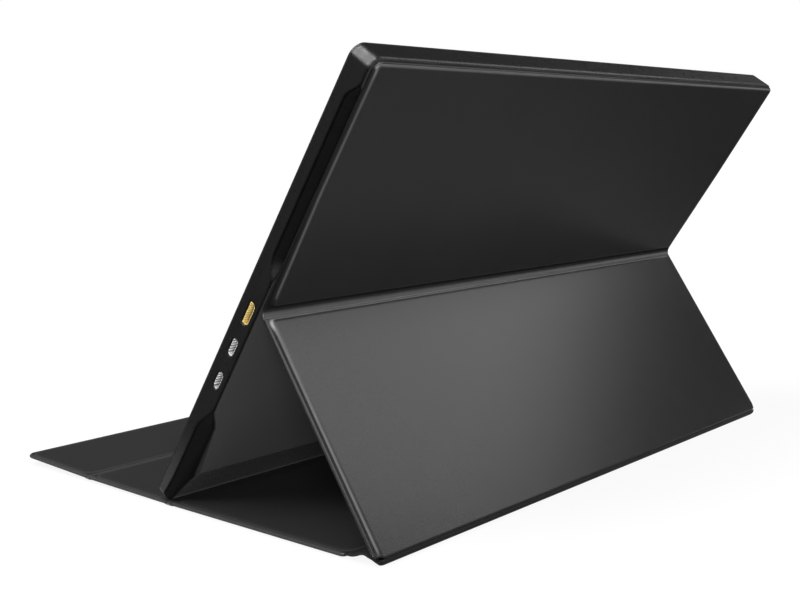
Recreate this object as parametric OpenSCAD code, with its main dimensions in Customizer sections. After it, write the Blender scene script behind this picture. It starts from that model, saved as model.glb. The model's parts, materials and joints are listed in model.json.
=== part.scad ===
// Portable monitor with a folding cover that props it up.
// The row frame: +X is right as seen from the screen side, the screen faces -Y, +Z is up.
// The origin is at the bottom centre of the whole object, on the table.

/* [Monitor] */
// Width of the monitor
mon_w = 356; // [340:1:372]
// Height of the monitor, measured along its back
mon_h = 241.5; // [236:0.5:250]
// Full thickness of the monitor
mon_t = 11.8; // [11.4:0.1:13]
// Thickness of the thin frame at the upper scallop
edge_t = 6.5; // [6.2:0.1:7.5]
// Thickness of the thin frame at the lower scallop
low_edge_t = 6.2; // [6:0.1:7]
// Radius of the two top corners
top_r = 6; // [4:0.5:10]
// Radius of the two bottom corners
bottom_r = 4; // [3:0.5:6]
// Width of the visible picture area
screen_w = 344.7; // [330:0.1:346]
// Height of the visible picture area
screen_h = 215.4; // [205:0.1:217]
// Height of the bezel strip under the picture
chin = 20; // [19:0.5:22]

/* [Stand] */
// Angle the monitor leans back from upright
lean = 33.7; // [30:0.1:37]
// Height of the crease between the upper panel and the leg, along the back
crease_s = 117.7; // [115:0.1:121]
// Height of the leg's lowest corner over the table
foot_lift = 0.2; // [0.1:0.05:0.5]
// Elevation of the leg over the table
leg_angle = 56.5; // [55:0.1:58]
// Extra setback of the leg's folding axis behind the foot
axis_back = 4.5; // [3:0.1:6]

/* [Cover] */
// Width of the folding cover
cover_w = 352.6; // [345:0.1:354]
// Thickness of a cover panel
cover_t = 2.5; // [2.4:0.1:3]
// Width of the flat pressed rim round each panel
rim = 3.2; // [2:0.1:4]
// Radius of the corners beside the spine
foot_r = 4; // [1:0.5:6]
// Gap between the cover's top edge and the monitor's top edge
top_gap = 0.6; // [0.3:0.1:3]
// Radius of the cover's free corners
cover_r = 5; // [4:0.5:7]
// Length of the rear base panel
rear_len = 114.5; // [105:0.5:115]
// Length of the middle base panel
middle_len = 61.3; // [56:0.1:64]
// Length of the front flap
flap_len = 55.2; // [50:0.1:60]
// Upward tilt of the middle panel
middle_tilt = 0.8; // [0.5:0.1:2]
// Upward tilt of the flap relative to the middle panel
flap_tilt = 1.4; // [0.5:0.1:2.5]

/* [Controls] */
// Length of the power button's cap
button_len = 8; // [6:0.5:9]
// Length of the menu rocker's cap
rocker_len = 15; // [12:0.5:16]
// Bore radius of the headphone socket
jack_r = 1.8; // [1.75:0.01:1.85]

/* [Hidden] */
$fn = 64;
eps = 0.01;

// The monitor's local frame: x across, y = depth from the front glass, z = height along the back.
bezel_t = 1;                  // thickness of the front bezel plate
wall = 1.5;                   // side wall of the housing
bevel_o = 8;                  // depth where the bottom bevel starts on the bottom edge
bevel_s = 19.5;               // height where the bottom bevel meets the flat back
edge_r = 2;                   // rounding of the bottom back edge
bev_n = norm([mon_t - bevel_o, bevel_s]);
bev_d = [(mon_t - bevel_o) / bev_n, bevel_s / bev_n];
edge_c = [bevel_o - edge_r * (1 - bev_d[0]) / bev_d[1], edge_r];   // centre of that rounding
rim_t = 1.2;                  // thickness of the pressed rim
lining_t = 0.5;
board_t = 1.3;

// Where the monitor stands: its rounded edge clears the base panels by 0.3.
up = [sin(lean), cos(lean)];
back = [cos(lean), -sin(lean)];
mon_z = cover_t + 0.3 + edge_r - up[1] * edge_c[1] - back[1] * (edge_c[0] - mon_t);
function mon_pt(o, s) = [up[0] * s + back[0] * (o - mon_t), mon_z + up[1] * s + back[1] * (o - mon_t)];
pivot = mon_pt(mon_t + 0.9, crease_s);                 // the crease axis
pivot_w = 0.6;                                         // its height over the leg's inner face
fold_gap = 1.2;                                        // from the crease axis to the end of each panel
leg_len = (pivot[1] - foot_lift - pivot_w * cos(leg_angle)) / sin(leg_angle);
fold_total = 180 - leg_angle - (90 - lean);            // how far the leg stands off the back
foot = pivot + leg_len * [cos(leg_angle), -sin(leg_angle)] - pivot_w * [sin(leg_angle), cos(leg_angle)];
edge_pt = mon_pt(edge_c[0], edge_c[1]);
leg_axis = [2 * pivot[0] - edge_pt[0] + axis_back, edge_pt[1]];

// Base panels, along y, before the shift to the row origin.
groove_rear = edge_pt[0] + 0.6;                        // groove under the monitor's edge
groove_half = 2.6;
rear_y0 = groove_rear + groove_half;
rear_y1 = rear_y0 + rear_len;
flap_half = 1.8;
hinge_z = cover_t - rim_t / 2;
middle_span = groove_half + middle_len + flap_half;    // from the rear groove to the front groove
front_y = groove_rear - middle_span * cos(middle_tilt)
    - (flap_half + flap_len) * cos(middle_tilt + flap_tilt) - 0.05;
back_y = (mon_h - top_gap) * up[0] + rim_t * back[0];  // the cover's top edge reaches farthest back
shift = -(front_y + back_y) / 2;

port_s = [114, 95, 75.8];     // heights of the display socket and the two round-ended sockets
port_o = [7.5, 7.0, 7.1];     // their depths
board_o = [6.4, 7.2];         // front and back face of the main board
key_s = [118, 98, 76];        // heights of the power button, the rocker and the headphone socket
key_o = 7.2;
boss_at = [[103, 74], [103, 118], [158, 85.4], [158, 104.5]];
magnet_at = [for (x = [-132, -46, 46, 132], s = [150, 220]) [x, s]];

// Placement of the bodies.
module at_monitor() translate([0, shift, mon_z]) rotate([-lean, 0, 0]) translate([0, -mon_t, 0]) children();
module at_leg() translate([0, shift + pivot[0], pivot[1]]) rotate([90 - leg_angle, 0, 0]) children();
module at_base() translate([0, shift, 0]) children();
module at_middle() at_base() translate([0, groove_rear, hinge_z]) rotate([-middle_tilt, 0, 0]) children();
module at_flap() at_middle() translate([0, -middle_span, 0]) rotate([-flap_tilt, 0, 0]) children();
module both_sides() { children(); mirror([1, 0, 0]) children(); }
// A flat drawing in (depth, height), extruded along x from x0 to x1.
module along_x(x0, x1) translate([x0, 0, 0]) rotate([90, 0, 90]) linear_extrude(x1 - x0) children();
// A flat drawing in (x, height), extruded through the depth from y0 to y1.
module through(y0, y1) translate([0, y1, 0]) rotate([90, 0, 0]) linear_extrude(y1 - y0) children();

// Rounded rectangle from z = 0 to z = l, with radius r0 at the lower and r1 at the upper corners.
module plate2d(w, l, r0, r1) {
    translate([-w / 2, r0]) square([w, l - r0 - r1]);
    if (r0 > 0) {
        translate([r0 - w / 2, 0]) square([w - 2 * r0, r0 + 1]);
        for (k = [-1, 1]) translate([k * (w / 2 - r0), r0]) circle(r0);
    }
    if (r1 > 0) {
        translate([r1 - w / 2, l - r1 - 1]) square([w - 2 * r1, r1 + 1]);
        for (k = [-1, 1]) translate([k * (w / 2 - r1), l - r1]) circle(r1);
    }
}
module stadium2d(h, l) {
    square([h, l - h], center = true);
    for (k = [-1, 1]) translate([0, k * (l - h) / 2]) circle(h / 2);
}

// ---------- monitor housing ----------
function smooth(t) = t * t * (3 - 2 * t);
function curve(s0, s1, o0, o1, n) = [for (i = [0:n]) [o0 + (o1 - o0) * smooth(i / n), s0 + (s1 - s0) * i / n]];
module monitor_outline(inset) translate([0, inset])
    plate2d(mon_w - 2 * inset, mon_h - 2 * inset, bottom_r - inset, top_r - inset);
// Side view of the housing: flat back, wide bottom bevel with a rounded edge, chamfered top edge.
module housing_profile() {
    polygon([[bezel_t, 0], [edge_c[0], 0], [edge_c[0] + edge_r * bev_d[1], edge_c[1] - edge_r * bev_d[0]],
        [mon_t, bevel_s], [mon_t, mon_h - 0.6], [mon_t - 0.5, mon_h], [bezel_t, mon_h]]);
    translate(edge_c) circle(edge_r);
}
// A scallop thins the side down to a frame. From the frame a slope of 45 degrees rises to the flat back, with a
// rounded shoulder. Each facet, at its own angle, is one extrusion of the frame's S-curve.
// How far a facet lies inside the housing's back corner, for the scallop's depth d and the shoulder's radius r:
function facet_in(a, d, r) = sin(a) * (d + r * tan(22.5)) - r * (1 - cos(a));
function shoulder(d, s, s_wide) = d * (0.75 + min(1.6, 0.06 * max(0, s_wide - s)));
module scallop(edge, s_wide) for (a = [11.25, 22.5, 33.75, 45])
    translate([mon_w / 2, mon_t, 0]) rotate([0, 0, -a]) along_x(-28, 6) polygon(concat(
        [for (p = edge) [-facet_in(a, mon_t - p[0], shoulder(mon_t - p[0], p[1], s_wide)), p[1]]],
        [[6, edge[len(edge) - 1][1]], [6, edge[0][1]]]));
module upper_scallop() scallop(concat(curve(131, 146, mon_t, edge_t, 14), curve(221, 231, edge_t, mon_t, 10)), 0);
module lower_scallop() scallop(concat([for (p = [[-5, 2.6], [0, 2.1], [3, 1.5], [8, 0.9], [15, 0.45], [25, 0.2],
    [36, 0.05]]) [low_edge_t - p[1], p[0]]], curve(47, 64.7, low_edge_t, mon_t, 16)), 47);
module port_hole(i, grow) translate([0, port_o[i], port_s[i]]) along_x(mon_w / 2 - 3, mon_w / 2 + 1)
    if (i == 0) hdmi2d(grow); else stadium2d(3.26 + 2 * grow, 8.94 + 2 * grow);
module rear_housing() color("#2b2b2d") at_monitor() difference() {
    union() {
        difference() {
            intersection() {
                through(bezel_t, mon_t) monitor_outline(0);
                along_x(-mon_w / 2, mon_w / 2) housing_profile();
            }
            both_sides() { upper_scallop(); lower_scallop(); }
            through(bezel_t - eps, 5) monitor_outline(wall);
            through(5 - eps, mon_t - 1.2) translate([0, 24]) plate2d(314, mon_h - 29.5, 3, 3);
            both_sides() through(5 - eps, mon_t - 1.2) translate([157 - eps, 69])
                square([mon_w / 2 - wall - 157 + eps, 54]);
        }
        for (p = boss_at) translate([p[0], board_o[1], p[1]]) rotate([-90, 0, 0])
            cylinder(r = 2.3, h = mon_t - 1 - board_o[1]);
        // ribs beside the chin carry the display stack
        for (x = [-90, -30, 30, 90]) translate([x - 0.6, 4.6, 24 - eps]) cube([1.2, mon_t - 1 - 4.6, 1.4]);
    }
    for (p = boss_at) translate([p[0], board_o[1] - eps, p[1]]) rotate([-90, 0, 0]) cylinder(r = 1, h = 2.6);
    for (i = [0:2]) port_hole(i, 0.25);
    // power button, rocker and headphone socket in the left wall
    along_x(-mon_w / 2 - 1, -mon_w / 2 + 3) {
        translate([key_o, key_s[0]]) stadium2d(3.2, button_len + 0.6);
        translate([key_o, key_s[1]]) stadium2d(3.2, rocker_len + 0.6);
    }
    translate([-mon_w / 2 - 1, key_o, key_s[2]]) rotate([0, 90, 0]) cylinder(r = 3, h = 4);
    // speaker slots in the bottom edge
    both_sides() for (i = [0:8]) translate([104 + i * 5, 2.2, -1]) cube([3, 1.6, 4]);
}
module front_bezel() color("#262627") at_monitor() difference() {
    union() {
        through(0.3, bezel_t) monitor_outline(0);
        through(0, 0.3 + eps) monitor_outline(0.3);
        through(bezel_t - eps, 3) difference() {
            monitor_outline(wall + 0.2);
            monitor_outline(wall + 1.2);
        }
    }
    through(-eps, bezel_t + eps) translate([0, chin]) plate2d(screen_w, screen_h, 1, 1);
    both_sides() for (i = [0:8]) translate([104 + i * 5, 2.2, -1]) cube([3, 1.6, 5]);
}

// ---------- display stack ----------
cell_w = screen_w + 4.8;
module display_cell() color("#101013") at_monitor()
    through(bezel_t, 2.1) translate([0, chin - 4.5]) plate2d(cell_w, screen_h + 6.8, 1, 1);
module optical_films() color("#e8e8e4") at_monitor()
    through(2.1, 2.5) translate([0, chin - 3]) plate2d(cell_w - 1.4, screen_h + 5, 0, 0);
module light_guide() color("#dfe6e8") at_monitor()
    through(2.5, 4) translate([0, chin - 3]) plate2d(cell_w - 1.4, screen_h + 5, 0, 0);
module light_strip() color("#f2e6b0") at_monitor() {
    through(2.5, 3.2) translate([0, chin - 4.2]) plate2d(cell_w - 8, 1.1, 0, 0);
    for (i = [-24:24]) translate([i * 7 - 1.5, 3.2 - eps, chin - 4]) cube([3, 0.7, 0.9]);
}
module panel_chassis() color("#9fa2a4") at_monitor() difference() {
    through(2.15, 4.4) translate([0, chin - 4.9]) plate2d(cell_w, screen_h + 7.3, 1, 1);
    through(2.1, 4) translate([0, chin - 4.3]) plate2d(cell_w - 1, screen_h + 6.5, 0, 0);
}

// ---------- electronics ----------
module main_board() color("#1f5138") at_monitor() {
    difference() {
        through(board_o[0], board_o[1]) translate([95.5, 69.4]) square([80, 53.2]);
        for (p = boss_at) translate([p[0], board_o[0] - 1, p[1]]) rotate([-90, 0, 0]) cylinder(r = 1.15, h = 4);
        for (i = [0:2]) translate([170, board_o[0] - 1, port_s[i] - 6 + (i > 0 ? 1.2 : 0)])
            cube([8, 3, i > 0 ? 9.6 : 12]);
    }
    // connector for the panel cable, on the front face, and the processor on the back face
    translate([118, 5.65, 70.4]) cube([16, board_o[0] - 5.65 + eps, 4]);
    translate([122, board_o[1] - eps, 89]) cube([14, 1, 14]);
    for (i = [0:5]) translate([146, board_o[1] - eps, 76 + i * 7]) cube([4, 1.2, 4]);
}
module shield_can() color("#b9bcbe") at_monitor() difference() {
    translate([112, board_o[1], 80]) cube([30, 2, 32]);
    translate([112.3, board_o[1] - eps, 80.3]) cube([29.4, 1.7, 31.4]);
}
module timing_board() color("#1f5138") at_monitor() {
    through(4.5, 5.3) translate([-95, 30]) square([150, 13]);
    for (i = [0:3]) translate([-80 + i * 35, 5.3 - eps, 33]) cube([9, 0.9, 7]);
}
module panel_cable() color("#b08a3c") at_monitor() through(5.35, 5.6) {
    translate([38, 37]) square([14, 24]);
    translate([38, 49]) square([95, 12]);
    translate([119, 49]) square([14, 25]);
}
module hdmi2d(g) polygon([[-1.71 - g, -5.6 - g], [-1.71 - g, 5.6 + g], [0.5, 5.6 + g], [1.71 + g, 4.4 + g],
    [1.71 + g, -4.4 - g], [0.5, -5.6 - g]]);
module hdmi_shell() color("#c9a45a") at_monitor() translate([0, port_o[0], port_s[0]]) difference() {
    along_x(mon_w / 2 - 7.8, mon_w / 2 - 0.3) hdmi2d(0);
    along_x(mon_w / 2 - 7.4, mon_w / 2) hdmi2d(-0.3);
}
module hdmi_tongue() color("#1c1c1e") at_monitor() translate([mon_w / 2 - 7.4, port_o[0], port_s[0]]) {
    translate([0, -0.1, -4]) cube([5.6, 0.7, 8]);
    for (i = [-9:9]) translate([0.6, -0.2, i * 0.4 - 0.1]) cube([4.6, 0.12, 0.2]);
}
module usb_shell(i) translate([0, port_o[i], port_s[i]]) difference() {
    along_x(mon_w / 2 - 7.8, mon_w / 2 - 0.3) stadium2d(3.26, 8.94);
    along_x(mon_w / 2 - 7.4, mon_w / 2) stadium2d(2.66, 8.34);
}
module usb_tongue(i) translate([mon_w / 2 - 7.4, port_o[i], port_s[i]]) {
    translate([0, -0.35, -3.3]) cube([5.4, 0.7, 6.6]);
    for (k = [-6:6]) translate([1.4, -0.42, k * 0.46 - 0.1]) cube([3.6, 0.84, 0.2]);
}
module usb_c_shell_upper() color("#b4b6b8") at_monitor() usb_shell(1);
module usb_c_tongue_upper() color("#1c1c1e") at_monitor() usb_tongue(1);
module usb_c_shell_lower() color("#b4b6b8") at_monitor() usb_shell(2);
module usb_c_tongue_lower() color("#1c1c1e") at_monitor() usb_tongue(2);
module audio_jack() color("#202022") at_monitor() difference() {
    union() {
        translate([-mon_w / 2 + 1.8, key_o - 2.6, key_s[2] - 3.2]) cube([13.4, 5.3, 6.4]);
        translate([-mon_w / 2 + 0.1, key_o, key_s[2]]) rotate([0, 90, 0]) cylinder(r = 2.85, h = 2);
    }
    translate([-mon_w / 2 - 1, key_o, key_s[2]]) rotate([0, 90, 0]) cylinder(r = jack_r, h = 15);
}
module key_board() color("#1f5138") at_monitor() {
    difference() {
        through(4.6, 5.4) translate([-mon_w / 2 + 3.1, 70]) square([15.9, 52]);
        translate([-mon_w / 2 + 1, 4, key_s[2] - 3.4]) cube([14.4, 3, 6.8]);
    }
    for (z = [key_s[0], key_s[1] - 5, key_s[1] + 5]) {
        translate([-mon_w / 2 + 4.2, 5.4 - eps, z - 1.8]) cube([3.4, 3.4, 3.6]);
        translate([-mon_w / 2 + 3.25, key_o - 0.6, z - 0.9]) cube([1, 1.2, 1.8]);
    }
}
module speaker() translate([100, 0, 0]) difference() {
    translate([0, bezel_t + 0.1, 3]) cube([52, 3.6, 11.6]);
    translate([3, 2.2, 2]) cube([46, 1.6, 2]);
}
module speaker_right() color("#1a1a1c") at_monitor() speaker();
module speaker_left() color("#1a1a1c") at_monitor() mirror([1, 0, 0]) speaker();
module housing_magnets() color("#8d9093") at_monitor() for (p = magnet_at)
    translate([p[0], mon_t - 2.25, p[1]]) rotate([-90, 0, 0]) cylinder(r = 5, h = 1.05);
module board_screws() color("#55585b") at_monitor() for (p = boss_at)
    translate([p[0], board_o[0], p[1]]) rotate([-90, 0, 0]) difference() {
        union() {
            translate([0, 0, -0.9]) cylinder(r = 1.9, h = 0.9);
            translate([0, 0, -eps]) cylinder(r = 0.95, h = 3.2);
        }
        translate([0, 0, -1]) cylinder(r = 0.6, h = 0.6);
    }

// ---------- controls in the left wall ----------
module power_button() color("#3a3a3d") at_monitor() translate([0, key_o, key_s[0]]) {
    along_x(-mon_w / 2 - 0.45, -mon_w / 2 + 2.1) stadium2d(2.6, button_len);
    along_x(-mon_w / 2 + 1.9, -mon_w / 2 + 2.5) stadium2d(4, button_len + 1.4);
}
module menu_rocker() color("#3a3a3d") at_monitor() translate([0, key_o, key_s[1]]) {
    difference() {
        along_x(-mon_w / 2 - 0.45, -mon_w / 2 + 2.1) stadium2d(2.6, rocker_len);
        translate([-mon_w / 2 - 3.2, 0, 0]) rotate([90, 0, 0]) cylinder(r = 3, h = 8, center = true);
    }
    along_x(-mon_w / 2 + 1.9, -mon_w / 2 + 2.5) stadium2d(4, rocker_len + 1.2);
}

// ---------- cover panels ----------
// Panel frame: x across, y = 0 on the inner lining up to cover_t on the outer skin, z = 0 to l along it.
module bevelled_pad(w, l, r, y0, y1, b) {
    through(y0, y1 - b) plate2d(w, l, r, r);
    translate([0, 0, r]) linear_extrude(l - 2 * r)
        polygon([[-w / 2, y1 - b - eps], [w / 2, y1 - b - eps], [w / 2 - b, y1], [b - w / 2, y1]]);
    along_x(r - w / 2, w / 2 - r) polygon([[y1 - b - eps, 0], [y1, b], [y1, l - b], [y1 - b - eps, l]]);
    for (x = [r - w / 2, w / 2 - r], z = [r, l - r]) translate([x, y1 - b, z]) rotate([-90, 0, 0])
        cylinder(r1 = r, r2 = r - b, h = b);
}
module panel_skin(l, r0, r1) difference() {
    union() {
        through(lining_t, rim_t) plate2d(cover_w, l, r0, r1);
        translate([0, 0, rim]) bevelled_pad(cover_w - 2 * rim, l - 2 * rim, 3, rim_t - eps, cover_t, 0.8);
    }
    through(lining_t - eps, lining_t + board_t) translate([0, rim + 1.5])
        plate2d(cover_w - 2 * rim - 3, l - 2 * rim - 3, 2, 2);
}
module panel_board(l) through(lining_t, lining_t + board_t - 0.03) translate([0, rim + 1.55])
    plate2d(cover_w - 2 * rim - 3.1, l - 2 * rim - 3.1, 2, 2);
module panel_lining(l, r0, r1) through(0, lining_t) plate2d(cover_w, l, r0, r1);

// Upper panel, held to the monitor's back by magnets. Its panel frame starts just over the crease.
upper_len = mon_h - top_gap - crease_s - fold_gap;
module at_upper() at_monitor() translate([0, mon_t, crease_s + fold_gap]) children();
module upper_skin() color("#2e2e30") at_upper() panel_skin(upper_len, 0, cover_r);
module upper_board() color("#7d7468") at_upper() difference() {
    panel_board(upper_len);
    for (p = magnet_at) translate([p[0], 0, p[1] - crease_s - fold_gap]) rotate([-90, 0, 0]) cylinder(r = 5.1, h = 4);
}
module upper_lining() color("#3a3a3c") at_upper() panel_lining(upper_len, 0, cover_r);
module cover_magnets() color("#8d9093") at_upper() for (p = magnet_at)
    translate([p[0], lining_t + 0.1, p[1] - crease_s - fold_gap]) rotate([-90, 0, 0]) cylinder(r = 5, h = 1);

// Leg panel: hangs from the crease to the foot.
leg_panel = leg_len - fold_gap;
module at_leg_panel() at_leg() translate([0, -pivot_w, -leg_len]) children();
module leg_skin() color("#3c3c3f") at_leg_panel() panel_skin(leg_panel, foot_r, 0);
module leg_board() color("#7d7468") at_leg_panel() panel_board(leg_panel);
module leg_lining() color("#3a3a3c") at_leg_panel() panel_lining(leg_panel, foot_r, 0);

// Thin flexible skin across the crease, bent at rest.
half_fold = fold_total / 2;
mid_dir = [cos(half_fold), sin(half_fold)];
leg_dn = [sin(fold_total), -cos(fold_total)];
leg_out = [cos(fold_total), sin(fold_total)];
crease_c = [mon_t + 0.9, crease_s];
module crease_strip() color("#262628") at_monitor() along_x(-cover_w / 2, cover_w / 2) polygon([
    [mon_t + rim_t, crease_s + fold_gap], crease_c + 0.55 * mid_dir,
    crease_c + leg_dn * (fold_gap - 0.3) + leg_out * 0.6, crease_c + leg_dn * (fold_gap - 0.3) - leg_out * 0.5,
    crease_c - 0.5 * mid_dir, [mon_t + 0.1, crease_s + fold_gap]]);

// Base: rear panel on the table, then the middle panel and the front flap.
module lying() rotate([-90, 0, 0]) children();
module at_rear() at_base() translate([0, rear_y0, cover_t]) lying() children();
module rear_skin() color("#2e2e30") at_rear() panel_skin(rear_len, 0, foot_r);
module rear_board() color("#7d7468") at_rear() panel_board(rear_len);
module rear_lining() color("#3a3a3c") at_rear() panel_lining(rear_len, 0, foot_r);
module at_middle_panel() at_middle() translate([0, -groove_half - middle_len, cover_t - hinge_z])
    lying() children();
module middle_skin() color("#2e2e30") at_middle_panel() panel_skin(middle_len, 0, 0);
module middle_board() color("#7d7468") at_middle_panel() panel_board(middle_len);
module middle_lining() color("#3a3a3c") at_middle_panel() panel_lining(middle_len, 0, 0);
module at_flap_panel() at_flap() translate([0, -flap_half - flap_len, cover_t - hinge_z]) lying() children();
module flap_skin() color("#2e2e30") at_flap_panel() panel_skin(flap_len, cover_r, 0);
module flap_board() color("#7d7468") at_flap_panel() panel_board(flap_len);
module flap_lining() color("#3a3a3c") at_flap_panel() panel_lining(flap_len, cover_r, 0);

// Thin flexible strips across the grooves, a little lower than the panels' lining.
module rear_groove_strip() color("#262628") at_base() translate([-cover_w / 2, groove_rear - groove_half + 0.3, 1.1])
    cube([cover_w, 2 * groove_half - 0.3, 1]);
module front_groove_strip() color("#262628") at_middle() translate([-cover_w / 2, -middle_span - flap_half + 0.3,
    1.1 - hinge_z]) cube([cover_w, 2 * flap_half - 0.3, 1]);

// Flexible spine: leaves the rear panel flat and rises to the inner face of the leg.
spine_z = 5.4;                                          // height where it meets the leg
spine_y = foot[0] - (spine_z + 0.5 - foot[1]) / tan(leg_angle) - 0.75;
function spine_pts(dz) = [for (i = [0:10]) [rear_y1 + (spine_y - rear_y1) * i / 10,
    cover_t - 1.1 + dz + (spine_z - cover_t + 0.6) * smooth(i / 10)]];
module spine_strip() color("#262628") at_base() along_x(-cover_w / 2, cover_w / 2)
    polygon(concat(spine_pts(0), [for (i = [10:-1:0]) spine_pts(1)[i]]));

rear_housing();
front_bezel();
display_cell();
optical_films();
light_guide();
light_strip();
panel_chassis();
main_board();
shield_can();
timing_board();
panel_cable();
hdmi_shell();
hdmi_tongue();
usb_c_shell_upper();
usb_c_tongue_upper();
usb_c_shell_lower();
usb_c_tongue_lower();
audio_jack();
key_board();
speaker_right();
speaker_left();
housing_magnets();
board_screws();
power_button();
menu_rocker();
upper_skin();
upper_board();
upper_lining();
cover_magnets();
crease_strip();
leg_skin();
leg_board();
leg_lining();
spine_strip();
rear_skin();
rear_board();
rear_lining();
rear_groove_strip();
middle_skin();
middle_board();
middle_lining();
front_groove_strip();
flap_skin();
flap_board();
flap_lining();
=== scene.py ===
"""Portable monitor with a folding cover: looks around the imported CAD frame.

The object's lengths are written in millimetres, those of materials, clipping and lights in metres.
"""

import json
import math

import bmesh
import bpy
from mathutils import Matrix, Vector


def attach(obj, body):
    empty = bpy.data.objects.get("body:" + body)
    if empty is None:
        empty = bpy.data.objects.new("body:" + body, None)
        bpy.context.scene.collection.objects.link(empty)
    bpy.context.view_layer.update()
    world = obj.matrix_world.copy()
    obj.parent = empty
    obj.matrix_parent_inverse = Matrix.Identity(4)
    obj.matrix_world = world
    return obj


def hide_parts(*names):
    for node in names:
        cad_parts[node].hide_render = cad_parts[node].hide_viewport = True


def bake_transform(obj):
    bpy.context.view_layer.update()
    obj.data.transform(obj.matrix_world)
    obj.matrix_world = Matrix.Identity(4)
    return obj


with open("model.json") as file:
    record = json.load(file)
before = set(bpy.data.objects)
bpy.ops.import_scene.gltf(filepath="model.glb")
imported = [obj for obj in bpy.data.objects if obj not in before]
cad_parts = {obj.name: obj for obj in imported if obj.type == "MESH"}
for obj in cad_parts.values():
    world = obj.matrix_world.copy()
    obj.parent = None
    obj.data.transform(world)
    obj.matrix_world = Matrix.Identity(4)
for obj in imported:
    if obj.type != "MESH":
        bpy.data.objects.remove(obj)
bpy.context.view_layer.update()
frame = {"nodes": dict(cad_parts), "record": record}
NODES = frame["nodes"]
MM = 0.001

# ---------------------------------------------------------------- driving values, as in the part's source
MON_T, MON_H = 11.8, 241.5            # thickness and height of the monitor
LEAN = math.radians(33.7)             # how far the monitor leans back from upright
LEG_ANGLE = math.radians(56.5)        # elevation of the leg over the table
CREASE_S = 117.7                      # height of the crease axis, along the monitor's back
PIVOT_O, PIVOT_W = 0.9, 0.6           # the crease axis' distance from the back and from the leg's inner face
FOLD_GAP = 1.2                        # from the crease axis to the end of each panel
COVER_W = 353.4                       # the cover's width, 0.4 more on each side than the CAD solid
COVER_T = 2.5                         # thickness of a cover panel
TOP_GAP = 0.6                         # from the cover's top edge to the monitor's
COVER_R, FOOT_R = 5.0, 4.0            # corner radii of the cover's free ends, and beside the spine
REAR_LEN, MIDDLE_LEN, FLAP_LEN = 114.5, 61.3, 55.2
MIDDLE_TILT, FLAP_TILT = math.radians(0.8), math.radians(1.4)
GROOVE_HALF, FLAP_HALF = 2.6, 1.8     # half widths of the rear and the front groove of the base
HINGE_Z = 1.9                         # height of the grooves' folding axes
FOOT_LIFT = 0.2                       # height of the leg's lowest corner over the table
EDGE_R = 2.0                          # rounding of the monitor's bottom back edge
BEVEL_O, BEVEL_S = 8.0, 19.5          # depth and height where the bottom bevel starts and ends
EDGE_GAP = 0.3                        # from that edge down to the base panels
GROOVE_SETBACK = 0.6                  # from that edge back to the middle of the rear groove
FRONT_SPARE = 0.05                    # what the flap's tilted end adds to the base's length
RIM_T = 1.2                           # thickness of the pressed rim of a panel

bevel_run = math.hypot(MON_T - BEVEL_O, BEVEL_S)
bevel_dir = ((MON_T - BEVEL_O) / bevel_run, BEVEL_S / bevel_run)
edge_centre = (BEVEL_O - EDGE_R * (1 - bevel_dir[0]) / bevel_dir[1], EDGE_R)
up = (math.sin(LEAN), math.cos(LEAN))
back = (math.cos(LEAN), -math.sin(LEAN))
mon_z = COVER_T + EDGE_GAP + EDGE_R - up[1] * edge_centre[1] - back[1] * (edge_centre[0] - MON_T)


def monitor_point(o, s):
    """(y, z) of a point at depth o and height s of the monitor, before the shift to the row origin."""
    return (up[0] * s + back[0] * (o - MON_T), mon_z + up[1] * s + back[1] * (o - MON_T))


pivot = monitor_point(MON_T + PIVOT_O, CREASE_S)
leg_len = (pivot[1] - FOOT_LIFT - PIVOT_W * math.cos(LEG_ANGLE)) / math.sin(LEG_ANGLE)
groove_rear = monitor_point(*edge_centre)[0] + GROOVE_SETBACK
rear_y0 = groove_rear + GROOVE_HALF
rear_y1 = rear_y0 + REAR_LEN
middle_span = GROOVE_HALF + MIDDLE_LEN + FLAP_HALF
front_y = (
    groove_rear
    - middle_span * math.cos(MIDDLE_TILT)
    - (FLAP_HALF + FLAP_LEN) * math.cos(MIDDLE_TILT + FLAP_TILT)
    - FRONT_SPARE
)
shift = -(front_y + (MON_H - TOP_GAP) * up[0] + RIM_T * back[0]) / 2


def move(x, y, z):
    return Matrix.Translation((x, y, z))


def turn_x(angle):
    return Matrix.Rotation(angle, 4, "X")


# Frames of the bodies and panels. A panel's frame has x across, y from the lining to the skin, z along it.
LYING = turn_x(-math.pi / 2)
at_base = move(0, shift, 0)
at_monitor = move(0, shift, mon_z) @ turn_x(-LEAN) @ move(0, -MON_T, 0)
at_upper = at_monitor @ move(0, MON_T, CREASE_S + FOLD_GAP)
at_leg = (
    move(0, shift + pivot[0], pivot[1])
    @ turn_x(math.pi / 2 - LEG_ANGLE)
    @ move(0, -PIVOT_W, -leg_len)
)
at_rear = at_base @ move(0, rear_y0, COVER_T) @ LYING
at_middle = at_base @ move(0, groove_rear, HINGE_Z) @ turn_x(-MIDDLE_TILT)
at_middle_panel = at_middle @ move(0, -GROOVE_HALF - MIDDLE_LEN, COVER_T - HINGE_Z) @ LYING
at_flap = at_middle @ move(0, -middle_span, 0) @ turn_x(-FLAP_TILT)
at_flap_panel = at_flap @ move(0, -FLAP_HALF - FLAP_LEN, COVER_T - HINGE_Z) @ LYING

# ---------------------------------------------------------------- camera
PICTURE_W = 800                       # width of the picture in pixels
CAM_F = 1179.065                      # focal length in the same pixels
CAM_YAW, CAM_PITCH, CAM_ROLL = -0.85341, -0.1332, -0.01299
CAM_AT = (511.734, 436.985 + shift, 167.798)
SENSOR_W = 36                         # in millimetres of the camera itself
CLIPPING = (0.01, 50)


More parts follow.
